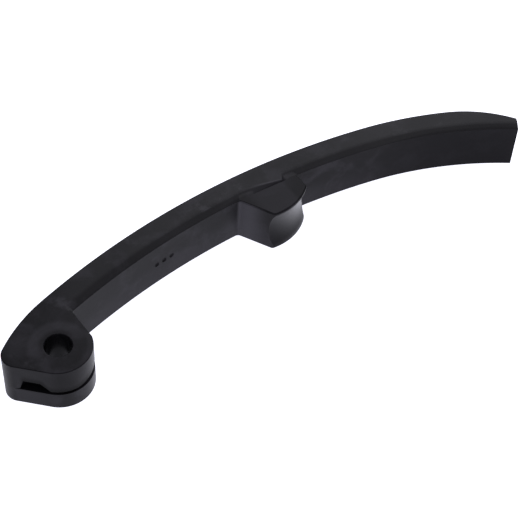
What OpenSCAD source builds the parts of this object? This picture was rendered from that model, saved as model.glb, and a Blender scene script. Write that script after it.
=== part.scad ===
// Timing chain guide: one moulded rail with a pivot eye at one end and a thrust pad on its hollow side.
// It lies on its side. The pivot bore stands along Z at the origin, the free end points along +X,
// the chain runs over the outer (+Y) face and the hollow side faces -Y.

/* [Rail] */
// Width of the rail across the chain, its height as it lies
guide_w = 20; // [17:0.5:26]
// Distance from the bore axis to the free end
reach = 210.5; // [190:0.5:230]
// Rise of the running face above the line from the bore axis to the free end
crown = 37.3; // [35:0.1:40]
// Radius of the running face
run_r = 314; // [290:1:340]
// Thickness of the rail
rail_t = 11.5; // [10:0.25:13]
// Width of the rolled edge on the upper side of the rail
roll_w = 4.5; // [4:0.1:4.8]
// Height of the rolled edge on the hollow side, where it ends in a crisp line
roll_h = 0.6; // [0.5:0.05:0.7]

/* [Free end] */
// Radius of the running face where it bends down to the free end
tip_r = 158; // [140:1:180]
// Angle past the crown at which that bend starts
tip_from = 9.5; // [8:0.1:11]
// Radius of the lead-in that thins the free end
lead_r = 52; // [45:1:60]
// Thickness left at the free end
tip_t = 6; // [4:0.25:7.5]

/* [Pivot eye] */
// Diameter of the pivot bore
bore_d = 10; // [8:0.1:12]
// Diameter of the eye round the bore
boss_d = 24.6; // [22:0.1:28]
// Step from the round of the eye in to the neck face that joins it to the rail
neck_in = 0.7; // [0.3:0.1:2]
// Fillet in the corner between the neck face and the rail
neck_fillet = 1; // [0.5:0.1:2]
// Radius of the running face as it bends down past the bore
heel_r = 67; // [60:1:75]
// Angle before the crown at which that bend starts
heel_from = 18.7; // [18:0.1:19.4]
// Angle at which the bend ends in the nose
heel_to = 40; // [38:0.5:42]
// Radius of the nose at the pivot end
nose_r = 5.8; // [5:0.1:6.5]

/* [Clip slot] */
// Thickness of the lower flange under the slot
flange_h = 7.7; // [6:0.1:9]
// Height of the slit round the front of the eye
slit_h = 1.5; // [1:0.1:2.5]
// Height of the slit's mouth at the side of the eye
mouth_h = 4; // [2:0.1:5]
// Distance from the bore axis at which the slit starts to open out to its mouth
mouth_from = 1; // [0:0.1:3]
// Height of the window at the flat front of the eye
window_h = 5; // [4:0.1:6]
// Width of the window along its upper edge
window_w = 4.4; // [3.5:0.1:5.5]
// Wall between the bore and the window's near upper corner
window_wall = 6; // [5:0.1:7]
// Run of the sloping side of the window next to the bore
window_slope = 2.6; // [1:0.1:3.5]
// Run of the steep side of the window next to the nose
window_lean = 1; // [0.5:0.1:1.5]
// Run of the tapered tail of the slit past the window
slit_tail = 1.4; // [0.5:0.1:2]
// Height of the tail where it meets the window
tail_h = 0.6; // [0.3:0.1:0.9]
// Distance of the slot's back from the bore axis, positive behind it
slot_back = 0; // [-1:0.1:1]

/* [Thrust pad] */
// Distance from the bore axis to the highest point of the pad
pad_x = 102.7; // [90:0.1:115]
// Height of the pad over the hollow side of the rail
pad_rise = 13.6; // [10:0.1:15]
// Radius of the pad's wear face
pad_r = 23; // [20:0.5:28]
// Reach of the pad from its highest point to its left corner
pad_left = 3.2; // [2:0.1:5]
// Reach of the pad from its highest point to its right flank
pad_right = 16.2; // [13:0.1:17]
// Lean of the left flank away from square
flank_lean = 30; // [20:1:35]
// Rounding of the corner between the left flank and the wear face
pad_nose_r = 1.6; // [0.8:0.1:2]
// Fillet where the left flank meets the rail
pad_fillet = 2; // [1:0.1:3]
// Depth of the dish across the wear face, in which the tensioner's plunger rides
dish_d = 1.6; // [0.8:0.1:2]
// Height of the rim below the dish
dish_low = 2; // [1:0.1:4]
// Height of the rim above the dish
dish_high = 1.1; // [0.9:0.1:3]
// Step from the upper side of the rail down to the pad
pad_drop = 0.55; // [0.4:0.05:1.5]
// Rounding of the pad's upper edges
pad_edge_r = 0.7; // [0.3:0.1:1]
// Distance from the hollow side to the step behind the pad, at the left flank
step_left = 5.3; // [5:0.1:5.6]
// The same distance where the step ends
step_right = 0.3; // [0.2:0.05:1]
// Distance from that end to the right flank
step_short = 6.9; // [4:0.1:9]

/* [Hidden] */
$fn = 96;

// Overlap by which neighbouring bodies of the moulding run into each other
bite = 3;
// Run of a cutter past the surface that it cuts
past = 2;
// Overlap by which two faces that run on into each other cross, so that they meet in a clean line
lap = 0.004;

boss_r = boss_d / 2;
hollow_r = run_r - rail_t;
// Radius of the rolled edge: it runs on from the upper side
roll_r = (roll_w * roll_w + roll_h * roll_h) / (2 * roll_h);

// Places are given by an angle from +Y, positive towards the free end
function polar(centre, r, a) = centre + r * [sin(a), cos(a)];
function bearing(v) = atan2(v.x, v.y);

// Point where a line from p along the unit vector d meets a circle, the near (-1) or far (1) one
function line_in_circle(p, d, centre, r, side) =
    let (q = p - centre, b = q * d)
    p + (-b + side * sqrt(b * b - q * q + r * r)) * d;

// Bend at the free end: its centre lies on the running face's own radius
tip_y = crown - run_r + (run_r - tip_r) * cos(tip_from);
end_a = acos(-tip_y / (tip_r - rail_t));
crown_x = reach - (run_r - tip_r) * sin(tip_from) - (tip_r - rail_t) * sin(end_a);
run_c = [crown_x, crown - run_r];
tip_c = polar(run_c, run_r - tip_r, tip_from);

// Lead-in: runs on from the bend and leaves tip_t at the end face
end_r = tip_r - rail_t + tip_t;
lead_d = tip_r - lead_r + lap;
lead_a = end_a - acos((end_r * end_r + lead_d * lead_d - lead_r * lead_r) / (2 * end_r * lead_d));
lead_c = polar(tip_c, lead_d, lead_a);

// Heel and nose at the pivot end
heel_c = polar(run_c, run_r - heel_r + lap, -heel_from);
nose_c = polar(heel_c, heel_r - nose_r + lap, -heel_to);

// Flat front of the eye: the line that touches both the nose and the round of the eye
front_a = bearing(nose_c) - acos((boss_r - nose_r) / norm(nose_c));

// Neck: its face stands upright at this distance from the bore axis
neck_x = boss_r - neck_in;
neck_top = line_in_circle([neck_x, 0], [0, 1], run_c, hollow_r, 1).y;

// Mouth of the slit: rise for each millimetre along it
mouth_rise = (mouth_h - slit_h) / (boss_r - mouth_from);

// Window: near upper corner
window_x = bore_d / 2 + window_wall;

// Thrust pad
pad_h = guide_w - pad_drop;
// The root fillets stay a little below the pad's rounded edges
fillet_top = pad_h - 1.4 * pad_edge_r;
pad_c = [pad_x, crown - rail_t - pad_rise + pad_r];
flank_dir = [-sin(flank_lean), cos(flank_lean)];
flank_out = [-cos(flank_lean), -sin(flank_lean)];
// Corner of the left flank and the wear face before it is rounded
pad_corner = pad_c + [-pad_left, -sqrt(pad_r * pad_r - pad_left * pad_left)];
pad_nose_c = line_in_circle(pad_corner - pad_nose_r * flank_out, flank_dir, pad_c, pad_r - pad_nose_r, -1);
pad_root = line_in_circle(pad_corner, flank_dir, run_c, hollow_r, 1);
// Dish: its middle and the radius of its section
dish_half = (pad_h - dish_high - dish_low) / 2;
dish_r = (dish_half * dish_half + dish_d * dish_d) / (2 * dish_d);
// Right flank: its line, its foot on the rail and its corner with the wear face
pad_end_x = pad_c.x + pad_right;
pad_end_y = pad_c.y - sqrt(pad_r * pad_r - pad_right * pad_right);
pad_foot_y = line_in_circle([pad_end_x, 0], [0, 1], run_c, hollow_r, 1).y;
// Step behind the pad: where it ends
step_x = pad_end_x - step_short;
step_y = line_in_circle([step_x, 0], [0, 1], run_c, hollow_r, 1).y;

// What a rounded corner of radius r at the origin takes off a shape in the first quadrant
module corner_cut(r) {
    difference() {
        translate([-past, -past]) square(past + r);
        translate([r, r]) circle(r + lap);
    }
}

// Profile of the cutter that rounds the pad's upper edges, with the edge at x = 0
module pad_edge() {
    translate([0, pad_h]) rotate(180) corner_cut(pad_edge_r);
}

// Draws a profile along a straight line of the given length. The profile's x points to the left of
// the line's own direction, given as a bearing
module drawn(start, a, length) {
    translate(start)
        rotate(-a)
            rotate([90, 0, 180])
                linear_extrude(length) children();
}

// What the rolled edge takes off the bar's profile, with the corner that it rounds at the origin
module roll_cut() {
    difference() {
        translate([-past, -roll_h]) square([past + roll_w, roll_h + past]);
        translate([roll_w, -roll_r]) circle(roll_r + lap);
    }
}

// One arc of the bar, bent to the left away from the Y axis, with its running face through the origin.
// It runs past both sides of the guide, which are cut to the guide's width later
module bar(r, span) {
    translate([0, -r])
        rotate(90)
            rotate_extrude(angle = span)
                translate([r - rail_t, 0])
                    difference() {
                        translate([0, -past]) square([rail_t, guide_w + 2 * past]);
                        translate([0, guide_w]) roll_cut();
                    }
}

// Part of the plan between two bearings about a centre that lies outside a circle round it
module outside(centre, r, a, b) {
    far = r + rail_t + past;
    difference() {
        polygon([
            centre,
            polar(centre, far, a),
            polar(centre, far / cos((b - a) / 2), (a + b) / 2),
            polar(centre, far, b)
        ]);
        translate(centre) circle(r);
    }
}

// Part of the plan beyond the line from a centre at bearing a, up to a distance r
module beyond(centre, r, a) {
    polygon([centre, polar(centre, r, a), polar(centre, r * sqrt(2), a - 45), polar(centre, r, a - 90)]);
}

// Curved bar: main run and bend to the free end, cut to the bend past the bore and to the lead-in
module rail() {
    difference() {
        intersection() {
            translate(polar(run_c, run_r, tip_from))
                rotate(-tip_from) {
                    bar(run_r, tip_from - bearing(nose_c - [nose_r, 0] - run_c));
                    mirror([1, 0, 0]) bar(tip_r, end_a - tip_from);
                }
            translate([-reach, -reach]) cube([3 * reach, 2 * reach, guide_w]);
        }
        translate([0, 0, -past])
            linear_extrude(guide_w + 2 * past) {
                outside(heel_c, heel_r, -90, -heel_from);
                beyond(heel_c, heel_r + rail_t + past, -heel_to);
                outside(lead_c, lead_r, lead_a, 90);
            }
    }
}

// Solid eye: nose, flat front and round, cut straight at the neck
module eye() {
    linear_extrude(guide_w)
        difference() {
            union() {
                circle(boss_r);
                translate(nose_c) circle(nose_r);
                polygon([
                    nose_c,
                    polar(nose_c, nose_r - lap, front_a),
                    polar([0, 0], boss_r - lap, front_a),
                    [neck_x + past, 0],
                    [neck_x + past, neck_top + rail_t / 2]
                ]);
            }
            translate([neck_x, -boss_d]) square([boss_r, boss_d + crown]);
        }
    linear_extrude(fillet_top) root_fillet([neck_x, 0], [0, 1], [1, 0], neck_fillet);
}

// Fillet between the hollow side of the rail and an upright face through p, along d, that looks along out
module root_fillet(p, d, out, r) {
    centre = line_in_circle(p + r * out, d, run_c, hollow_r - r, 1);
    foot = line_in_circle(p, d, run_c, hollow_r, 1);
    difference() {
        polygon([
            centre,
            centre - (r + bite) * out,
            foot + bite * (d - out),
            polar(run_c, hollow_r + bite, bearing(centre - run_c))
        ]);
        translate(centre) circle(r + lap);
    }
}

// Plan of the pad: the round of the wear face between the two flanks, with its left corner rounded
module pad_plan() {
    difference() {
        intersection() {
            translate(pad_c) circle(pad_r);
            polygon([
                pad_corner - past * flank_dir,
                pad_root + bite * flank_dir,
                [pad_end_x, pad_foot_y + bite],
                [pad_end_x, pad_corner.y - past]
            ]);
        }
        difference() {
            polygon([
                pad_nose_c,
                pad_nose_c + (pad_nose_r + past) * flank_out,
                pad_corner + past * (flank_out - flank_dir),
                pad_c + (pad_r + past) * (pad_nose_c - pad_c) / norm(pad_nose_c - pad_c)
            ]);
            translate(pad_nose_c) circle(pad_nose_r + lap);
        }
    }
}

// Pad that the chain tensioner presses on
module thrust_pad() {
    difference() {
        linear_extrude(pad_h) pad_plan();
        translate(pad_c)
            rotate(180)
                rotate_extrude(angle = 180)
                    translate([pad_r, 0]) {
                        pad_edge();
                        translate([dish_r - dish_d, dish_low + dish_half]) circle(dish_r);
                    }
        drawn(pad_corner - bite * flank_dir, bearing(flank_dir), norm(pad_root - pad_corner) + 3 * bite)
            pad_edge();
        drawn([pad_end_x, pad_foot_y + 2 * bite], 180, pad_foot_y + 3 * bite - pad_end_y)
            pad_edge();
    }
    linear_extrude(fillet_top) root_fillet(pad_corner, flank_dir, flank_out, pad_fillet);
    // The rolled edge runs out behind the pad: the upper side goes on to a slanting step there
    linear_extrude(guide_w)
        polygon([
            polar(run_c, hollow_r + step_left, bearing(pad_root - run_c)),
            [step_x, step_y + step_right],
            [step_x, step_y + rail_t / 2],
            polar(run_c, hollow_r + rail_t / 2, bearing(pad_root - run_c))
        ]);
}

// Side view of the slot in the eye, seen along +Y: the slit with its mouth, its tail and the window over it
module slot_profile() {
    polygon([
        [boss_r + past, 0],
        [boss_r + past, mouth_h + past * mouth_rise],
        [mouth_from, slit_h],
        [window_slope - window_x, slit_h],
        [-window_x, window_h],
        [-window_x - window_w, window_h],
        [-window_x - window_w - window_lean, tail_h],
        [-window_x - window_w - window_lean - slit_tail, 0]
    ]);
}

module clip_slot() {
    translate([0, slot_back, flange_h])
        rotate([90, 0, 0])
            linear_extrude(slot_back + boss_r + past) slot_profile();
}

module chain_guide() {
    color([0.13, 0.13, 0.14])
        difference() {
            union() {
                rail();
                eye();
                thrust_pad();
            }
            translate([0, 0, -past]) cylinder(d = bore_d, h = guide_w + 2 * past);
            clip_slot();
        }
}

chain_guide();
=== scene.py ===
import math

import bmesh
import bpy
from mathutils import Matrix, Vector


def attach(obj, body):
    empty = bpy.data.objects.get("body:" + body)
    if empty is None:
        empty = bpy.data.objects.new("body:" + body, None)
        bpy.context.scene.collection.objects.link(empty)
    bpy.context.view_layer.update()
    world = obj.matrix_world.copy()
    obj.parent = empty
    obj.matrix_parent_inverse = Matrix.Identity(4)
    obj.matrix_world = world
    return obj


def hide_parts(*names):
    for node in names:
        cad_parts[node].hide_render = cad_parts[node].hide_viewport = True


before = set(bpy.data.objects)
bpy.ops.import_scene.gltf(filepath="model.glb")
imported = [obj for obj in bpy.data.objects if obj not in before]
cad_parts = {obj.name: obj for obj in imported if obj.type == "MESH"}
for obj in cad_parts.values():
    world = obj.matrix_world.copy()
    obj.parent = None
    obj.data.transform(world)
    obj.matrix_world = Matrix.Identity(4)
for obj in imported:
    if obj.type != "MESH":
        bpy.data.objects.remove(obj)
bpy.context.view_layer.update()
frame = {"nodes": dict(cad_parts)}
scene = bpy.context.scene
scene.view_settings.view_transform = "Standard"
print("frame loaded:", ", ".join(frame["nodes"]))

mm = 0.001  # a millimetre in metres
origin = Vector((0, 0))
endWay, outWay = Vector((1, 0)), Vector((0, 1))  # towards the free end, towards the running face


# a socket that can stand in sums, and makes the nodes that it needs
class Wire:
    def __init__(self, tree, socket=None):
        self.tree = tree
        self.socket = socket

    def node(self, kind, settings=None, sockets=None, output=0):
        made = self.tree.nodes.new(kind)
        for name, value in (settings or {}).items():
            setattr(made, name, value)
        for name, value in (sockets or {}).items():
            for single in value if isinstance(value, list) else [value]:
                if isinstance(single, Wire):
                    self.tree.links.new(single.socket, made.inputs[name])
                else:
                    made.inputs[name].default_value = single
        return Wire(self.tree, made.outputs[output])

    def maths(self, operation, first, second=0.0):
        return self.node("ShaderNodeMath", {"operation": operation}, {0: first, 1: second})

    def vectors(self, operation, first, second, output=0):
        return self.node("ShaderNodeVectorMath", {"operation": operation}, {0: first, 1: second}, output)

    def scaled(self, vector, amount):
        return self.node("ShaderNodeVectorMath", {"operation": "SCALE"}, {0: vector, "Scale": amount})

    def parts(self, vector):
        return [self.node("ShaderNodeSeparateXYZ", None, {"Vector": vector}, axis) for axis in "XYZ"]

    def mixed(self, share, first, second):  # two colours
        return self.node("ShaderNodeMix", {"data_type": "RGBA"}, {0: share, 6: first, 7: second}, 2)

    def __add__(self, other):
        return self.maths("ADD", self, other)

    __radd__ = __add__

    def __sub__(self, other):
        return self.maths("SUBTRACT", self, other)

    def __rsub__(self, other):
        return self.maths("SUBTRACT", other, self)

    def __mul__(self, other):
        return self.maths("MULTIPLY", self, other)

    __rmul__ = __mul__

    def __truediv__(self, other):
        return self.maths("DIVIDE", self, other)

    def __rtruediv__(self, other):
        return self.maths("DIVIDE", other, self)

    def __abs__(self):
        return self.maths("ABSOLUTE", self)

    def atLeast(self, other):
        return self.maths("MAXIMUM", self, other)

    def above(self, other):
        return self.maths("GREATER_THAN", self, other)

    def rise(self, span):  # smooth rise from 0 to 1 over the span
        return self.node("ShaderNodeMapRange", {"interpolation_type": "SMOOTHSTEP"},
                         {"Value": self, "From Min": span[0], "From Max": span[1]})

    def fall(self, span):
        return 1 - self.rise(span)

    def cut(self, amount):  # share that is left where this mask takes the amount away
        return 1 - amount * self


def newMaterial(name):
    material = bpy.data.materials.new(name)
    material.use_nodes = True
    tree = material.node_tree
    return material, tree.nodes["Principled BSDF"], Wire(tree)


def addObject(name, data):
    made = bpy.data.objects.new(name, data)
    scene.collection.objects.link(made)
    return made


# camera, as the photo was taken
cameraView = {
    "place": (-0.12525, -0.28244, 0.41294),
    "right": (0.83012, -0.55591, 0.04319),
    "up": (0.39382, 0.63938, 0.66037),
    "lens": 98.667,
    "sensor": 36.0,
    "near": 0.01,
}


def addCamera(view):
    data = bpy.data.cameras.new("photoCamera")
    data.sensor_fit = "HORIZONTAL"
    data.sensor_width = view["sensor"]
    data.lens = view["lens"]
    data.clip_start = view["near"]
    camera = addObject("photoCamera", data)
    right = Vector(view["right"]).normalized()
    back = right.cross(Vector(view["up"])).normalized()
    up = back.cross(right)
    turn = Matrix((right, up, back)).transposed().to_4x4()
    camera.matrix_world = Matrix.Translation(view["place"]) @ turn
    scene.camera = camera


addCamera(cameraView)
print("camera set")


# sizes of the guide in millimetres and degrees, as in the solid; the scene adds the small edges,
# the flat share of the rolled edge and the foot of the neck
guide = {
    "width": 20.0, "reach": 210.5, "crown": 37.3, "runRadius": 314.0, "thickness": 11.5,
    "roll": 4.5, "rollDrop": 0.6, "rollFlat": 0.58, "pastRoll": 0.3,
    "tipRadius": 158.0, "tipFrom": 9.5, "leadRadius": 52.0, "tipThickness": 6.0,
    "bore": 5.0, "eyeRadius": 12.3, "neckX": 11.6, "neckFoot": 12.05, "neckFillet": 1.0,
    "heelRadius": 67.0, "heelFrom": 18.7, "heelTo": 40.0, "noseRadius": 5.8,
    "padX": 102.7, "padRise": 13.6, "padRadius": 23.0, "padLeft": 3.2, "padRight": 16.2,
    "padLean": 30.0, "padNose": 1.6, "padFillet": 2.0, "padHeight": 19.45, "padEdge": 0.7,
    "dish": 1.6, "dishLow": 2.0, "dishHigh": 1.1,
    "stepFrom": 95.0, "stepTo": 112.0, "stepEnd": 0.3,
    "edge": 0.35,
}

# how far bodies run into or past each other, so that they join and cut cleanly
spare = {"sink": 3.0, "overlap": 0.02, "lift": 0.012, "past": 1.0, "dishTurn": 1.15}

# straight pieces in each round stretch
facets = {
    "lead": 14, "tip": 36, "run": 80, "heel": 20, "nose": 28, "eye": 32,
    "neck": 10, "neckPlain": 2,  # the plain ones keep the small edge
    "runOut": 12, "comeBack": 4, "backSplit": 3,  # on the way back a piece is a third as long
    "hollow": 48, "hollowOn": 22, "hollowTip": 40,
    "padFillet": 12, "padNose": 8, "padFace": 30, "edge": 6,
    "bore": 72, "boreRim": 6, "dish": 180, "dishHalf": 8, "ball": 28, "ballRings": 18,
}


def polar(centre, radius, angle):  # angle from +Y, positive towards the free end
    turn = math.radians(angle)
    return centre + radius * Vector((math.sin(turn), math.cos(turn)))


def bearing(way):
    return math.degrees(math.atan2(way.x, way.y))


def lineInCircle(start, way, centre, radius, side):
    gap = start - centre
    along = gap.dot(way)
    return start + (side * math.sqrt(along * along - gap.dot(gap) + radius * radius) - along) * way


def bothWays(first, second, firstGap=1.0, secondGap=1.0):  # step that leaves two edges by the given gaps
    area = first.x * second.y - first.y * second.x
    return Vector((firstGap * second.y - secondGap * first.y,
                   secondGap * first.x - firstGap * second.x)) / area


# centres, angles and corners that follow from the sizes
def workOut(size):
    size["hollowRadius"] = size["runRadius"] - size["thickness"]
    size["tipHollow"] = size["tipRadius"] - size["thickness"]
    tipGap = size["runRadius"] - size["tipRadius"]
    tipFrom = math.radians(size["tipFrom"])
    tipY = size["crown"] - size["runRadius"] + tipGap * math.cos(tipFrom)
    size["endAngle"] = math.degrees(math.acos(-tipY / size["tipHollow"]))
    endX = size["tipHollow"] * math.sin(math.radians(size["endAngle"]))
    size["runCentre"] = Vector((size["reach"] - tipGap * math.sin(tipFrom) - endX,
                                size["crown"] - size["runRadius"]))
    size["tipCentre"] = polar(size["runCentre"], tipGap, size["tipFrom"])
    endRadius = size["tipHollow"] + size["tipThickness"]
    leadGap = size["tipRadius"] - size["leadRadius"]
    size["leadFrom"] = size["endAngle"] - math.degrees(math.acos(
        (endRadius ** 2 + leadGap ** 2 - size["leadRadius"] ** 2) / (2 * endRadius * leadGap)))
    size["leadCentre"] = polar(size["tipCentre"], leadGap, size["leadFrom"])
    size["endCorner"] = polar(size["tipCentre"], endRadius, size["endAngle"])
    size["endIn"] = polar(origin, 1.0, size["endAngle"] - 90)
    size["heelCentre"] = polar(size["runCentre"], size["runRadius"] - size["heelRadius"], -size["heelFrom"])
    size["noseCentre"] = polar(size["heelCentre"], size["heelRadius"] - size["noseRadius"], -size["heelTo"])
    size["frontAngle"] = bearing(size["noseCentre"]) - math.degrees(
        math.acos((size["eyeRadius"] - size["noseRadius"]) / size["noseCentre"].length))
    size["padCentre"] = Vector((size["padX"],
                                size["crown"] - size["thickness"] - size["padRise"] + size["padRadius"]))
    lean = math.radians(size["padLean"])
    size["flankWay"] = Vector((-math.sin(lean), math.cos(lean)))
    size["flankOut"] = Vector((-math.cos(lean), -math.sin(lean)))
    size["rollEdge"] = [size["roll"], size["rollDrop"], size["rollFlat"]]


workOut(guide)

# slot in the eye, seen from the front: slit, mouth, window and tail, in millimetres along and up
slot = {
    "floor": 7.7, "roof": 9.2, "depth": 14.3,
    "mouthFrom": 1.0, "mouthTo": 14.3, "mouthRoof": 12.14,
    "windowFoot": -8.4, "windowRight": -11.0, "windowLeft": -15.4, "windowRoof": 12.7,
    "tailTop": (-16.4, 8.3), "tailEnd": -17.8,
}


# black moulded plastic; a pattern is its scale by the metre, detail, roughness and distortion
plasticLook = {
    # near black for the painted shade over the slot and in the middle of the eye's front
    "paintedShadeColour": (0.0012, 0.0011, 0.0014, 1.0),
    "dark": (0.0070, 0.0066, 0.0081, 1.0),
    # haze: colour of dust and smudges, and of the painted light low down on the hollow side
    "haze": (0.0206, 0.0195, 0.0236, 1.0),
    "scuff": (0.0490, 0.0467, 0.0550, 1.0),
    "specular": 0.04,
    "smudges": (95.0, 5.0, 0.62, 0.3), "smudgeRise": (0.44, 0.70),
    "patches": (38.0, 2.0, 0.5, 0.0), "grain": (2600.0, 2.0, 0.5, 0.0), "waves": (160.0, 1.0, 0.4, 0.0),
    "bump": 0.2, "bumpDepth": 0.2 * mm, "bumpGrain": 0.25,
}

# spans over which the masks rise: millimetres along, across and up, or the part of the normal that way
areas = {
    "flatTop": (0.80, 0.95), "levelTop": (0.986, 0.994), "upper": (19.5, 19.7),
    "eye": (6.0, 20.0), "roll": (18.0, 50.0), "far": (125.0, 180.0),
    "padFrom": (85.0, 90.0), "padTo": (112.0, 115.0), "rail": (0.0, 0.6),
    "front": (-0.5, 0.5), "run": (0.30, 0.60),
}


# places in millimetres, ways of facing, patterns and areas that the marks on the plastic are made from
class Surface:
    def __init__(self, wire, look, size):
        self.wire = wire
        self.place = wire.node("ShaderNodeTexCoord", output="Object")
        spot = wire.scaled(self.place, 1 / mm)
        self.along, self.across, self.height = wire.parts(spot)
        self.level = wire.vectors("MULTIPLY", spot, (1.0, 1.0, 0.0))
        facing = wire.node("ShaderNodeNewGeometry", output="Normal")
        self.facingEnd, self.facingOut, self.facingUp = wire.parts(facing)
        self.smudge = self.pattern(look["smudges"]).rise(look["smudgeRise"])
        self.patch, self.grain, self.wave = [
            self.pattern(look[name]) for name in ("patches", "grain", "waves")]
        self.fromBore = self.awayFrom(origin)
        self.inset = self.awayFrom(size["runCentre"]) - size["hollowRadius"]  # from the hollow side inwards
        self.markAreas()

    def markAreas(self):
        self.flatTop = self.facingUp.rise(areas["flatTop"])
        self.upper = self.height.rise(areas["upper"])
        self.onEye = self.along.fall(areas["eye"])
        self.far = self.along.rise(areas["far"])
        self.onRun = self.facingOut.rise(areas["run"])
        self.rolled = self.flatTop * self.facingUp.fall(areas["levelTop"]) * self.along.rise(areas["roll"])
        self.front = self.onEye * (1 - self.flatTop) * self.across.fall(areas["front"])
        besidePad = self.along.rise(areas["padFrom"]) * self.along.fall(areas["padTo"])
        railTop = self.inset.rise(areas["rail"]) * (1 - besidePad)
        self.padTop = self.flatTop * (1 - self.upper) * (1 - railTop)

    def pattern(self, values, where=None):
        scale, detail, roughness, distortion = values
        return self.wire.node("ShaderNodeTexNoise", None, {
            "Vector": where or self.place, "Scale": scale, "Detail": detail, "Roughness": roughness,
            "Distortion": distortion}, "Fac")

    def awayFrom(self, spot):
        return self.wire.vectors("DISTANCE", self.level, (spot[0], spot[1], 0.0), "Value")


# wear face of the pad: polished in its dish, more so towards the free end, not on its upper rim
wearLook = {
    "inside": (-2.2, -1.7), "outside": (0.3, 0.6),  # from the pad's round
    "root": (20.5, 21.5), "rim": (17.6, 18.1), "flank": (-0.60, 0.05), "top": (0.40, 0.60),
    "least": 0.02, "polish": 0.20, "patches": 0.12,
    "low": (1.0, 10.0), "lowGain": 0.29, "high": (13.0, 17.0), "highLoss": 0.05,
    "endwards": (99.0, 113.0), "endLeast": 0.32, "endGain": 0.65,
}


def wearMarks(face, look, size):
    gap = face.awayFrom(size["padCentre"]) - size["padRadius"]
    onPad = gap.rise(look["inside"]) * gap.fall(look["outside"]) * face.across.fall(look["root"])
    onPad = onPad * face.facingEnd.rise(look["flank"]) * face.facingUp.fall(look["top"])
    onPad = onPad * face.height.fall(look["rim"])
    polish = look["polish"] + look["patches"] * (face.patch - 0.5)
    polish = polish + look["lowGain"] * face.height.rise(look["low"])
    polish = polish - look["highLoss"] * face.height.rise(look["high"])
    polish = polish * (look["endLeast"] + look["endGain"] * face.along.rise(look["endwards"]))
    return onPad, look["least"] + polish


# front of the eye: painted shade over the slot and in its middle
frontLook = {
    "lip": (0.0, 3.8), "lipFrom": (8.8, 9.2), "lipLeft": (-16.5, -15.0), "lipShade": 0.95,
    "middle": -3.5, "middleFall": (2.0, 8.0), "middleFrom": (9.0, 10.0), "middleShade": 0.28,
}


def frontPaintedShade(face, look, opening):
    window = face.along.fall((opening["windowRight"], opening["windowFoot"]))
    slope = (opening["mouthRoof"] - opening["roof"]) / (opening["mouthTo"] - opening["mouthFrom"])
    roof = opening["roof"] + (opening["windowRoof"] - opening["roof"]) * window
    roof = roof + slope * (face.along - opening["mouthFrom"]).atLeast(0.0)
    lip = (face.height - roof).fall(look["lip"]) * face.height.rise(look["lipFrom"])
    lip = lip * face.along.rise(look["lipLeft"])
    middle = abs(face.along - look["middle"]).fall(look["middleFall"]) * face.height.rise(look["middleFrom"])
    return face.front * (look["lipShade"] * lip).atLeast(look["middleShade"] * middle)


# dust and painted light: smudges from handling and rubbed lines on the run; painted floor light low down on
# the hollow side; lighter low by the nose; painted shade towards the free end, on the rolled edge and over
# the slot
dustAndLightLook = {
    "low": (2.0, 13.0), "pastEye": (8.0, 20.0), "lowGain": 0.7, "farCut": 0.8,
    "eyeHigh": (9.0, 12.0), "eyeCut": 0.6,
    "nose": (-14.0, -6.0), "noseLow": (6.5, 8.0), "noseGain": 0.6,
    "runCut": 0.7, "lineGain": 0.35, "rollCut": 0.7, "padCut": 0.35,
}


def dustAndPaintedLight(face, look, onPad, paintedShade, lines):
    # painted light low down on the hollow side, and painted shade towards the free end
    low = face.height.fall(look["low"]) * face.along.rise(look["pastEye"])
    dustAndLight = face.smudge * face.far.cut(look["farCut"]) + look["lowGain"] * low * (1 - face.far)
    dustAndLight = dustAndLight * (1 - onPad)
    eyeHigh = face.onEye * face.height.rise(look["eyeHigh"]) * (1 - face.flatTop)
    dustAndLight = dustAndLight * eyeHigh.cut(look["eyeCut"]) * (1 - paintedShade)
    nose = face.front * face.along.fall(look["nose"]) * face.height.fall(look["noseLow"])
    dustAndLight = dustAndLight + look["noseGain"] * nose
    dustAndLight = dustAndLight * face.onRun.cut(look["runCut"]) + look["lineGain"] * lines
    # painted shade on the rolled edge, and less on the pad's top
    return dustAndLight * face.rolled.cut(look["rollCut"]) * face.padTop.cut(look["padCut"])


# fine lines along the running face where the chain rubs
runLook = {"lines": (900.0, 3.0, 0.55, 0.0), "drawn": (0.05, 0.05, 1.0), "lineRise": (0.45, 0.75)}


def runLines(face, look):
    drawn = face.wire.vectors("MULTIPLY", face.place, look["drawn"])
    return face.pattern(look["lines"], drawn).rise(look["lineRise"]) * face.onRun


# scuffs on the upper side, more round one spot; a light streak along the step behind the pad, partly scuffing
# and partly a painted edge highlight; and light marks under the step
scuffAndHighlightLook = {
    "scuffs": (70.0, 6.0, 0.68, 0.0), "scuffRise": (0.55, 0.72), "scuffGain": 0.50, "farCut": 0.6,
    "wornSpot": (80.0, 32.5), "wornFall": (2.0, 14.0), "wornGain": 0.11,
    "stepX": 96.5, "stepInset": 4.0, "stepSlope": 0.235, "stepLeast": 0.2,
    "streak": (0.1, 0.7), "streakFrom": (98.0, 106.0), "streakTo": (110.0, 113.0),
    "streakUp": (19.0, 19.4), "streakGain": 0.50,
    "under": (-0.3, 0.2), "underFrom": (94.0, 100.0), "underTo": (111.0, 113.0),
    "underUp": (19.3, 19.4), "underGain": 0.22,
}


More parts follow.
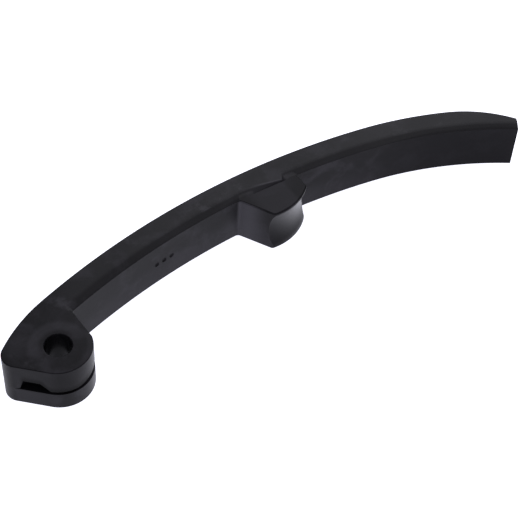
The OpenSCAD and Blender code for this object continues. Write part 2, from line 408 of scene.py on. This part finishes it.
def scuffsAndHighlight(face, look):
    worn = face.awayFrom(look["wornSpot"]).fall(look["wornFall"])
    scuff = (face.pattern(look["scuffs"]) + look["wornGain"] * worn).rise(look["scuffRise"])
    scuff = scuff * face.flatTop * face.upper * face.far.cut(look["farCut"]) * (1 - face.rolled)
    stepLine = look["stepInset"] - look["stepSlope"] * (face.along - look["stepX"])
    past = face.inset - stepLine.atLeast(look["stepLeast"])
    marks = look["scuffGain"] * scuff
    # the streak along the step is partly scuffing and partly a painted edge highlight
    for name, nearby in (("streak", abs(past)), ("under", past)):
        mark = nearby.fall(look[name]) * face.along.rise(look[name + "From"])
        mark = mark * face.along.fall(look[name + "To"]) * face.height.rise(look[name + "Up"])
        marks = marks + look[name + "Gain"] * mark
    return marks


# dust and painted light in the corners on both sides of the pad, less high on the wall beside its root, where
# painted shade falls
cornerDustAndLightLook = {
    "flank": (-0.55, -0.15), "flankGain": 0.95,
    "root": (93.0, 23.5), "rootFall": (1.0, 11.0), "wallGain": 0.35, "wallUp": (6.0, 16.0), "wallCut": 0.7,
    "far": (121.5, 25.0), "farFall": (1.0, 12.0), "farUp": (4.0, 14.0), "farGain": 0.25,
}


def cornerDustAndLight(face, look, onPad):
    onFlank = face.facingEnd.fall(look["flank"])
    # painted light on the pad's flank and on the wall by its root, less of it high up on the wall
    onWall = face.height.rise(look["wallUp"]).cut(look["wallCut"]) * (1 - onFlank)
    root = face.awayFrom(look["root"]).fall(look["rootFall"]) * (1 - face.flatTop)
    root = root * (look["wallGain"] * onWall + look["flankGain"] * onFlank)
    far = face.awayFrom(look["far"]).fall(look["farFall"]) * face.height.fall(look["farUp"]) * (1 - onPad)
    return root + look["farGain"] * far


# lighter on the eye's top: half a ring round the bore, its rim and its heel
eyeLook = {
    "ring": 8.6, "ringFall": (0.8, 3.0), "ringFrom": (-3.0, 3.0), "ringGain": 0.30,
    "rim": (9.5, 11.0), "rimFrom": (0.0, 6.0), "rimTo": (-2.0, 3.0), "rimGain": 0.25,
    "heel": (-12.5, 8.2), "heelFall": (2.0, 8.0), "heelGain": 0.22,
}


def eyeTopLighter(face, look):
    ring = abs(face.fromBore - look["ring"]).fall(look["ringFall"]) * face.across.rise(look["ringFrom"])
    rim = face.fromBore.rise(look["rim"]) * face.along.rise(look["rimFrom"]) * face.across.fall(look["rimTo"])
    heel = face.awayFrom(look["heel"]).fall(look["heelFall"])
    marks = look["ringGain"] * ring + look["rimGain"] * rim * face.onEye + look["heelGain"] * heel
    return marks * face.flatTop


# roughness, and the sheen where the plastic isn't polished
sheenLook = {
    "roughness": 0.30, "smudgeGain": 0.08, "grainGain": 0.04, "nose": (-21.0, -13.0), "noseGain": 0.08,
    "lineLoss": 0.06, "bore": (5.1, 5.4), "boreLoss": 0.16,
    "sheen": 0.085, "patchLeast": 0.45, "patchGain": 1.1, "padCut": 0.8, "eyeCut": 0.5, "farCut": 0.7,
    "rollCut": 0.3, "shadeCut": 0.85, "round": (5.0, 11.0), "roundLow": (9.0, 12.0), "roundGain": 1.1,
}


def roughMap(face, look, lines):
    rough = look["roughness"] + look["smudgeGain"] * face.smudge + look["grainGain"] * face.grain
    rough = rough + look["noseGain"] * face.along.fall(look["nose"])
    return rough - look["lineLoss"] * lines - look["boreLoss"] * face.fromBore.fall(look["bore"])


def sheenMap(face, look, paintedShade):
    sheen = look["sheen"] * (look["patchLeast"] + look["patchGain"] * face.patch)
    sheen = sheen * face.padTop.cut(look["padCut"]) * (face.onEye * face.flatTop).cut(look["eyeCut"])
    sheen = sheen * (face.far * (1 - face.flatTop)).cut(look["farCut"]) * face.rolled.cut(look["rollCut"])
    onRound = face.front * face.along.rise(look["round"]) * face.height.fall(look["roundLow"])
    return sheen * paintedShade.cut(look["shadeCut"]) * (1 + look["roundGain"] * onRound)


def makePlastic(look, size, opening):
    material, shader, wire = newMaterial("blackPlastic")
    face = Surface(wire, look, size)
    onPad, polish = wearMarks(face, wearLook, size)
    paintedShade = frontPaintedShade(face, frontLook, opening)
    lines = runLines(face, runLook)
    dustAndLight = dustAndPaintedLight(face, dustAndLightLook, onPad, paintedShade, lines)
    scuffsAndPaintedLight = scuffsAndHighlight(face, scuffAndHighlightLook) + eyeTopLighter(face, eyeLook) + cornerDustAndLight(face, cornerDustAndLightLook, onPad)
    # dust and smudges, with painted light low on the hollow side and painted shade on the rolled edge,
    # lighten the dark base
    colour = wire.mixed(dustAndLight, look["dark"], look["haze"])
    # scuffs, the partly painted highlight on the step, dust and painted light in the corners, and lighter
    # areas of the eye's top
    colour = wire.mixed(scuffsAndPaintedLight, colour, look["scuff"])
    # painted shade: a near black mixed in over the slot and in the middle of the eye's front
    colour = wire.mixed(paintedShade, colour, look["paintedShadeColour"])
    gloss = sheenMap(face, sheenLook, paintedShade) * (1 - onPad) + onPad * polish
    bump = wire.node("ShaderNodeBump", None, {
        "Strength": look["bump"], "Distance": look["bumpDepth"],
        "Height": face.wave + look["bumpGrain"] * face.grain})
    for name, value in (("Base Color", colour), ("Roughness", roughMap(face, sheenLook, lines)),
                        ("Coat Weight", gloss), ("Normal", bump)):
        wire.tree.links.new(value.socket, shader.inputs[name])
    shader.inputs["Specular IOR Level"].default_value = look["specular"]
    shader.inputs["Coat Roughness"].default_value = sheenLook["roughness"]
    print("plastic made:", len(wire.tree.nodes), "nodes")
    return material


plastic = makePlastic(plasticLook, guide, slot)


# outlines, run round with the plastic on the left; each point has its steps in for the lower and upper
# edge, and the width and drop of its upper edge with the share of it that is flat
class Outline:
    def __init__(self, edge):
        self.points, self.lower, self.upper, self.width, self.drop, self.flat = [], [], [], [], [], []
        self.edge = edge

    def add(self, point, lower, upper=None, edge=None):
        width, drop, flat = edge or (self.edge, self.edge, 0.0)
        self.points.append(point)
        self.lower.append(lower)
        self.upper.append(upper or lower)
        self.width.append(width * mm)
        self.drop.append(drop * mm)
        self.flat.append(flat)

    def arc(self, centre, radius, start, end, steps, inward=-1, edge=None, ends=(1, 1)):
        for number in range(steps + 1):
            if (number == 0 and not ends[0]) or (number == steps and not ends[1]):
                continue
            angle = start + (end - start) * number / steps
            self.add(polar(centre, radius, angle), polar(origin, 1.0, angle) * inward, None, edge)

    def toObject(self, name):
        mesh = bpy.data.meshes.new(name)
        count = len(self.points)
        mesh.from_pydata([(p.x * mm, p.y * mm, 0.0) for p in self.points],
                         [(n, (n + 1) % count) for n in range(count)], [])
        for label, steps in (("lowerStep", self.lower), ("upperStep", self.upper)):
            layer = mesh.attributes.new(label, "FLOAT_VECTOR", "POINT")
            for item, step in zip(layer.data, steps):
                item.vector = (step.x, step.y, 0.0)
        for label, values in (("upperWidth", self.width), ("upperDrop", self.drop), ("upperFlat", self.flat)):
            layer = mesh.attributes.new(label, "FLOAT", "POINT")
            for item, value in zip(layer.data, values):
                item.value = value
        return addObject(name, mesh)


def filletPlace(size, start, way, out, radius):  # centre, and bearing at which it touches the hollow side
    centre = lineInCircle(start + radius * out, way, size["runCentre"], size["hollowRadius"] - radius, 1)
    return centre, bearing(centre - size["runCentre"])


def grownEdge(small, full, share, flat):  # upper edge on its way from a small one to the rolled one
    return [small + (most - small) * share for most in full[:2]] + [flat]


# from the free end along the running face to the nose
def addOuterSide(line, size):
    leadIn = (size["leadCentre"] - size["endCorner"]).normalized()
    line.add(size["endCorner"], bothWays(size["endIn"], leadIn))
    line.arc(size["leadCentre"], size["leadRadius"], bearing(-leadIn), size["leadFrom"], facets["lead"],
             ends=(0, 0))
    bends = [("tip", size["leadFrom"], size["tipFrom"]), ("run", size["tipFrom"], -size["heelFrom"]),
             ("heel", -size["heelFrom"], -size["heelTo"])]
    for name, start, end in bends:
        line.arc(size[name + "Centre"], size[name + "Radius"], start, end, facets[name], ends=(1, 0))
    line.arc(size["noseCentre"], size["noseRadius"], -size["heelTo"], size["frontAngle"], facets["nose"])


# round of the eye and its neck, up to where the fillet touches the hollow side
def addEye(line, size):
    low = Vector((size["neckFoot"], -math.sqrt(size["eyeRadius"] ** 2 - size["neckFoot"] ** 2)))
    line.arc(origin, size["eyeRadius"], size["frontAngle"], bearing(low) - 360, facets["eye"], ends=(1, 0))
    bend, touch = filletPlace(size, size["neckX"] * endWay, outWay, endWay, size["neckFillet"])
    neckWay = Vector((size["neckX"], bend.y)) - low  # leans out a little towards the round of the eye
    line.add(low, bothWays(-low.normalized(), Vector((-neckWay.y, neckWay.x)).normalized()))
    count, plain = facets["neck"], facets["neckPlain"]
    for number in range(count + 1):  # the rolled edge grows out of the small edge of the eye in this corner
        angle = -90 + (touch + 90) * number / count
        grown = max(0.0, number - plain) / (count - plain)
        edge = grownEdge(size["edge"], size["rollEdge"], grown, size["rollFlat"] if grown else 0.0)
        line.add(polar(bend, size["neckFillet"], angle), polar(origin, 1.0, angle), None, edge)
    return touch


# hollow side with its rolled edge, from the eye to the free end
def addHollowSide(line, size, start):
    centre, radius, roll = size["runCentre"], size["hollowRadius"], size["rollEdge"]
    first, last = [bearing(lineInCircle(x * endWay, outWay, centre, radius, 1) - centre)
                   for x in (size["stepFrom"], size["stepTo"])]
    line.arc(centre, radius, start, first, facets["hollow"], 1, roll, (0, 1))
    out, back = facets["runOut"], facets["comeBack"]
    for number in range(1, out + back + 1):  # the rolled edge runs out behind the pad and comes back at once
        angle = first + (last - first) * min(number, out + (number - out) / facets["backSplit"]) / out
        left = 1 - number / out if number <= out else (number - out) / back
        line.add(polar(centre, radius, angle), polar(origin, 1.0, angle), None,
                 grownEdge(size["stepEnd"], roll, left, size["rollFlat"]))
    line.arc(centre, radius, angle, size["tipFrom"], facets["hollowOn"], 1, roll, (0, 0))
    line.arc(size["tipCentre"], size["tipHollow"], size["tipFrom"], size["endAngle"], facets["hollowTip"],
             1, roll, (1, 0))
    hollow = polar(origin, 1.0, size["endAngle"])
    corner = polar(size["tipCentre"], size["tipHollow"], size["endAngle"])
    line.add(corner, bothWays(hollow, size["endIn"]), bothWays(hollow, size["endIn"], 1.0, 0.0), roll)
    line.add(corner + (size["roll"] + size["pastRoll"]) * hollow, size["endIn"])


def railOutline(size):
    line = Outline(size["edge"])
    addOuterSide(line, size)
    addHollowSide(line, size, addEye(line, size))
    return line


def padOutline(size):
    line = Outline(size["padEdge"])
    way, out = size["flankWay"], size["flankOut"]
    centre, radius, nose = size["padCentre"], size["padRadius"], size["padNose"]
    corner = centre + Vector((-size["padLeft"], -math.sqrt(radius ** 2 - size["padLeft"] ** 2)))
    noseCentre = lineInCircle(corner - nose * out, way, centre, radius - nose, -1)
    turn = bearing(noseCentre - centre)
    bend, touch = filletPlace(size, corner, way, out, size["padFillet"])
    line.add(polar(size["runCentre"], size["hollowRadius"] + spare["sink"], touch), -out)
    line.arc(bend, size["padFillet"] + spare["overlap"], touch, bearing(-out), facets["padFillet"], 1)
    line.arc(noseCentre, nose, bearing(out), turn, facets["padNose"])
    endX = centre.x + size["padRight"]
    wearEnd = Vector((endX, centre.y - math.sqrt(radius ** 2 - size["padRight"] ** 2)))
    line.arc(centre, radius, turn, bearing(wearEnd - centre) - 360, facets["padFace"], ends=(0, 0))
    line.add(wearEnd, bothWays((centre - wearEnd).normalized(), -endWay))
    foot = lineInCircle(endX * endWay, outWay, size["runCentre"], size["hollowRadius"], 1)
    line.add(foot + spare["sink"] * outWay, -endWay)
    return line


def newTree(name, ports, result):
    tree = bpy.data.node_groups.new(name, "GeometryNodeTree")
    for port, kind in ports.items():
        tree.interface.new_socket(port, in_out="INPUT", socket_type="NodeSocket" + kind)
    tree.interface.new_socket(result, in_out="OUTPUT", socket_type="NodeSocketGeometry")
    wire = Wire(tree)
    return wire, [wire.node("NodeGroupInput", output=port) for port in ports]


def endTree(wire, shape, material):
    plain = wire.node("GeometryNodeRealizeInstances", None, {"Geometry": shape})
    done = wire.node("GeometryNodeSetMaterial", None, {"Geometry": plain, "Material": material})
    wire.tree.links.new(done.socket, wire.tree.nodes.new("NodeGroupOutput").inputs[0])
    return wire.tree


# block over an outline, with a rounded upper and lower edge
blockPorts = {"Outline": "Geometry", "Foot": "Float", "Height": "Float", "Lower edge": "Float",
              "Steps": "Int", "Material": "Material"}
mergeGap = 2e-6  # points nearer than this, in metres, are one


def edgeRule():
    wire, (outline, foot, height, lowEdge, steps, material) = newTree("roundedBlock", blockPorts, "Block")

    def stored(name, kind):
        return wire.node("GeometryNodeInputNamedAttribute", {"data_type": kind}, {"Name": name})

    here = wire.node("GeometryNodeInputPosition")
    lowStep, highStep = [stored(name, "FLOAT_VECTOR") for name in ("lowerStep", "upperStep")]
    edgeWidth, edgeDrop, edgeFlat = [
        stored(name, "FLOAT") for name in ("upperWidth", "upperDrop", "upperFlat")]

    # wall: one column for each point of the outline, one row for each step of an edge
    count = wire.node("GeometryNodeAttributeDomainSize", None, {"Geometry": outline}, "Point Count")
    rows = 2 * steps + 2
    wall = wire.node("GeometryNodeMeshGrid", None, {"Vertices X": count + 1, "Vertices Y": rows}, "Mesh")
    number = wire.node("GeometryNodeInputIndex")
    column = wire.maths("MODULO", wire.maths("FLOOR", (number + 0.5) / rows), count)
    row = wire.maths("MODULO", number, rows)

    def atColumn(value, kind):
        return wire.node("GeometryNodeSampleIndex", {"data_type": kind, "domain": "POINT"},
                         {"Geometry": outline, "Value": value, "Index": column})

    above = row.above(steps + 0.5)
    share = (row - above * (steps + 1)) / steps
    turn = share * (math.pi / 2)
    lowIn = lowEdge * (1 - wire.maths("SINE", turn))
    lowRise = lowEdge * (1 - wire.maths("COSINE", turn))

    # the upper edge is an arc that runs on from the upper side, and a flat slope where it has a flat share
    width, drop, flat = [atColumn(value, "FLOAT") for value in (edgeWidth, edgeDrop, edgeFlat)]
    slope = 2 * wire.maths("ARCTAN2", drop, width * (1 + flat))
    radius = width * (1 - flat) / wire.maths("SINE", slope)
    sloped = flat.above(0.0)
    tilt = slope * (1 - ((share * steps - sloped) / (steps - sloped)).atLeast(0.0))
    inner = (share * steps).above(0.5)
    highIn = inner * (width - radius * wire.maths("SINE", tilt))
    highDrop = inner * radius * (1 - wire.maths("COSINE", tilt)) + (1 - inner) * drop
    rise = (1 - above) * (foot + lowRise) + above * (height - highDrop)
    lowMove = wire.scaled(atColumn(lowStep, "FLOAT_VECTOR"), lowIn * (1 - above))
    highMove = wire.scaled(atColumn(highStep, "FLOAT_VECTOR"), highIn * above)
    lift = wire.node("ShaderNodeCombineXYZ", None, {"Z": rise})
    start = wire.vectors("ADD", atColumn(here, "FLOAT_VECTOR"), lift)
    place = wire.vectors("ADD", start, wire.vectors("ADD", lowMove, highMove))
    wall = wire.node("GeometryNodeSetPosition", None, {"Geometry": wall, "Position": place})

    def side(step, depth, level):  # flat upper or lower side
        moved = wire.node("GeometryNodeSetPosition", None,
                          {"Geometry": outline, "Offset": wire.scaled(step, depth)})
        loop = wire.node("GeometryNodeMeshToCurve", None, {"Mesh": moved})
        filled = wire.node("GeometryNodeFillCurve", {"mode": "NGONS"}, {"Curve": loop})
        up = wire.node("ShaderNodeCombineXYZ", None, {"Z": level})
        return wire.node("GeometryNodeTransform", None, {"Geometry": filled, "Translation": up})

    sides = [side(highStep, edgeWidth, height), side(lowStep, lowEdge, foot)]
    joined = wire.node("GeometryNodeJoinGeometry", None, {"Geometry": [wall] + sides})
    closed = wire.node("GeometryNodeMergeByDistance", None, {"Geometry": joined, "Distance": mergeGap})
    return endTree(wire, closed, material)


def plainMesh(made):
    graph = bpy.context.evaluated_depsgraph_get()
    mesh = bpy.data.meshes.new_from_object(made.evaluated_get(graph))
    made.modifiers.clear()
    made.data = mesh
    return made


def setRule(made, rule, sizes):
    modifier = made.modifiers.new(rule.name, "NODES")
    modifier.node_group = rule
    ports = {item.name: item.identifier for item in rule.interface.items_tree if item.in_out == "INPUT"}
    for port, value in sizes.items():
        modifier[ports[port]] = value


def looseEdges(shape):
    return sum(not edge.is_manifold for edge in shape.edges)


def roundedBlock(name, outline, foot, height, rule):
    made = outline.toObject(name)
    setRule(made, rule, {"Foot": foot * mm, "Height": height * mm, "Lower edge": guide["edge"] * mm,
                         "Steps": facets["edge"], "Material": plastic})
    plainMesh(made)
    shape = bmesh.new()
    shape.from_mesh(made.data)
    bmesh.ops.recalc_face_normals(shape, faces=shape.faces)
    print(name, "block:", len(shape.faces), "faces,", looseEdges(shape), "loose edges")
    shape.to_mesh(made.data)
    shape.free()
    return made


def plasticObject(name, mesh):
    mesh.materials.append(plastic)
    return addObject(name, mesh)


def closedBody(name, shape):
    bmesh.ops.recalc_face_normals(shape, faces=shape.faces)
    mesh = bpy.data.meshes.new(name)
    shape.to_mesh(mesh)
    shape.free()
    return plasticObject(name, mesh)


# body turned about an upright axis from a profile of radius and height
def turnedBody(name, profile, centre, steps):
    shape = bmesh.new()
    verts = [shape.verts.new(((centre.x + r) * mm, centre.y * mm, z * mm)) for r, z in profile]
    edges = [shape.edges.new(pair) for pair in zip(verts, verts[1:])]
    bmesh.ops.spin(shape, geom=verts + edges, cent=(centre.x * mm, centre.y * mm, 0), axis=(0, 0, 1),
                   angle=2 * math.pi, steps=steps)
    bmesh.ops.remove_doubles(shape, verts=shape.verts, dist=mergeGap / 2)
    return closedBody(name, shape)


# bore, opened a little at both ends
def boreCutter(size):
    edge, radius, top, past = size["edge"], size["bore"], size["width"], spare["past"]
    turns = [math.pi / 2 * n / facets["boreRim"] for n in range(facets["boreRim"] + 1)]
    rim = [(radius + edge * (1 - math.sin(turn)), top - edge * (1 - math.cos(turn))) for turn in turns]
    profile = [(0, -past), (radius + edge, -past)] + [(r, top - z) for r, z in rim] + list(reversed(rim))
    profile += [(radius + edge, top + past), (0, top + past)]
    return turnedBody("bore", profile, origin, facets["bore"])


# dish across the wear face of the pad
def dishCutter(size):
    half = (size["padHeight"] - size["dishHigh"] - size["dishLow"]) / 2
    radius = (half ** 2 + size["dish"] ** 2) / (2 * size["dish"])
    middle = size["padRadius"] + radius - size["dish"]
    spread = math.asin(half / radius)
    count = facets["dishHalf"]
    turns = [spread * (n / count - 1) * spare["dishTurn"] for n in range(2 * count + 1)]
    arc = [(middle - radius * math.cos(turn), size["dishLow"] + half + radius * math.sin(turn))
           for turn in turns]
    outer = size["padRadius"] + spare["sink"]
    profile = [(outer, arc[0][1])] + arc + [(outer, arc[-1][1]), (outer, arc[0][1])]
    return turnedBody("dish", profile, size["padCentre"], facets["dish"])


def slotCutter(size):
    side = [(size["mouthTo"], size["floor"]), (size["mouthTo"], size["mouthRoof"]),
            (size["mouthFrom"], size["roof"]), (size["windowFoot"], size["roof"]),
            (size["windowRight"], size["windowRoof"]), (size["windowLeft"], size["windowRoof"]),
            size["tailTop"], (size["tailEnd"], size["floor"])]
    shape = bmesh.new()
    rings = [[shape.verts.new((x * mm, y * mm, z * mm)) for x, z in side] for y in (0.0, -size["depth"])]
    shape.faces.new(rings[0])
    shape.faces.new(reversed(rings[1]))
    for number in range(len(side)):
        after = (number + 1) % len(side)
        shape.faces.new((rings[0][number], rings[1][number], rings[1][after], rings[0][after]))
    return closedBody("slot", shape)


# row of small round dimples on the hollow side; angles in degrees about the bend
dimples = {"Count": 3, "First": -9.95, "Step": 0.68, "Height": 10.2 * mm, "Size": 1.25 * mm, "Out": 0.6 * mm}
dimplePorts = {"Blank": "Geometry", "Count": "Int", "Centre": "Vector", "Bend": "Float", "First": "Float",
               "Step": "Float", "Height": "Float", "Size": "Float", "Out": "Float", "Material": "Material"}


def dimpleRule():
    wire, ports = newTree("dimpleRow", dimplePorts, "Row")
    count, centre, bend, first, step, height, size, out, material = ports[1:]
    angle = (first + step * wire.node("GeometryNodeInputIndex")) * math.radians(1)
    radius = bend - out
    spot = wire.node("ShaderNodeCombineXYZ", None, {
        "X": radius * wire.maths("SINE", angle), "Y": radius * wire.maths("COSINE", angle), "Z": height})
    row = wire.node("GeometryNodeMeshLine", None, {"Count": count})
    row = wire.node("GeometryNodeSetPosition", None,
                    {"Geometry": row, "Position": wire.vectors("ADD", spot, centre)})
    ball = wire.node("GeometryNodeMeshUVSphere", None,
                     {"Segments": facets["ball"], "Rings": facets["ballRings"], "Radius": size})
    row = wire.node("GeometryNodeInstanceOnPoints", None, {"Points": row, "Instance": ball})
    return endTree(wire, row, material)


def dimpleCutter(row, size, rule):
    made = plasticObject("dimples", bpy.data.meshes.new("dimples"))
    centre = size["runCentre"]
    setRule(made, rule, {**row, "Centre": (centre.x * mm, centre.y * mm, 0.0),
                         "Bend": size["hollowRadius"] * mm, "Material": plastic})
    return plainMesh(made)


def joinBodies(body, steps):
    for other, operation in steps:
        modifier = body.modifiers.new(other.name, "BOOLEAN")
        modifier.operation = operation
        modifier.solver = "EXACT"
        modifier.object = other
    plainMesh(body)
    for other, operation in steps:
        bpy.data.objects.remove(other)


# edges stay sharp from so many degrees, and large faces weigh so much in the normals
shading = {"sharp": 32.0, "weight": 100}


def finishShading(body, rule):
    mesh = body.data
    shape = bmesh.new()
    shape.from_mesh(mesh)
    bmesh.ops.remove_doubles(shape, verts=shape.verts, dist=mergeGap)
    bmesh.ops.dissolve_degenerate(shape, edges=shape.edges, dist=mergeGap / 2)
    print("moulding:", len(shape.faces), "faces,", looseEdges(shape), "loose edges")
    shape.to_mesh(mesh)
    shape.free()
    mesh.shade_smooth()
    mesh.set_sharp_from_angle(angle=math.radians(rule["sharp"]))
    normals = body.modifiers.new("flatFaces", "WEIGHTED_NORMAL")
    normals.weight = rule["weight"]
    normals.keep_sharp = True
    plainMesh(body)


blockRule = edgeRule()
moulding = roundedBlock("moulding", railOutline(guide), 0.0, guide["width"], blockRule)
# the pad starts a hair above the rail's lower side, so that it joins it cleanly
pad = roundedBlock("pad", padOutline(guide), spare["lift"], guide["padHeight"], blockRule)
joinBodies(pad, [(dishCutter(guide), "DIFFERENCE")])
joinBodies(moulding, [(pad, "UNION"), (boreCutter(guide), "DIFFERENCE"), (slotCutter(slot), "DIFFERENCE"),
                      (dimpleCutter(dimples, guide, dimpleRule()), "DIFFERENCE")])
finishShading(moulding, shading)
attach(moulding, "root")
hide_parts("chain_guide")


# floor and light
stageLook = {
    "floor": (0.80, 0.80, 0.80, 1.0), "floorHalf": 6.0, "floorRoughness": 0.9,
    "glow": (1.0, 1.0, 1.12, 1.0), "glowStrength": 1.0,
    "sky": (0.94, 0.94, 1.0, 1.0), "skyStrength": 0.5,
}


def addFloor(look):
    mesh = bpy.data.meshes.new("floor")
    half = look["floorHalf"]
    corners = [(-half, -half, 0), (half, -half, 0), (half, half, 0), (-half, half, 0)]
    mesh.from_pydata(corners, [], [(0, 1, 2, 3)])
    material, shader = newMaterial("paleFloor")[:2]
    for name, value in (("Base Color", look["floor"]), ("Roughness", look["floorRoughness"]),
                        ("Specular IOR Level", 0.0), ("Emission Color", look["glow"]),
                        ("Emission Strength", look["glowStrength"])):
        shader.inputs[name].default_value = value
    mesh.materials.append(material)
    floor = addObject("floor", mesh)


def addSky(look):
    world = bpy.data.worlds.new("studio")
    world.use_nodes = True
    back = world.node_tree.nodes["Background"]
    back.inputs["Color"].default_value = look["sky"]
    back.inputs["Strength"].default_value = look["skyStrength"]
    scene.world = world


softBox = {
    "name": "backRight", "place": (0.92, 0.86, 1.08), "aim": (0.1, 0.0, 0.0), "size": 1.1, "power": 12.0,
    "colour": (0.93, 0.93, 1.0),
}


def addSoftBox(box):
    data = bpy.data.lights.new(box["name"], "AREA")
    data.shape = "SQUARE"
    data.size = box["size"]
    data.energy = box["power"]
    data.color = box["colour"]
    lamp = addObject(box["name"], data)
    away = Vector(box["place"]) - Vector(box["aim"])
    lamp.matrix_world = Matrix.Translation(box["place"]) @ away.to_track_quat("Z", "Y").to_matrix().to_4x4()


addFloor(stageLook)
addSky(stageLook)
addSoftBox(softBox)
print("stage set")
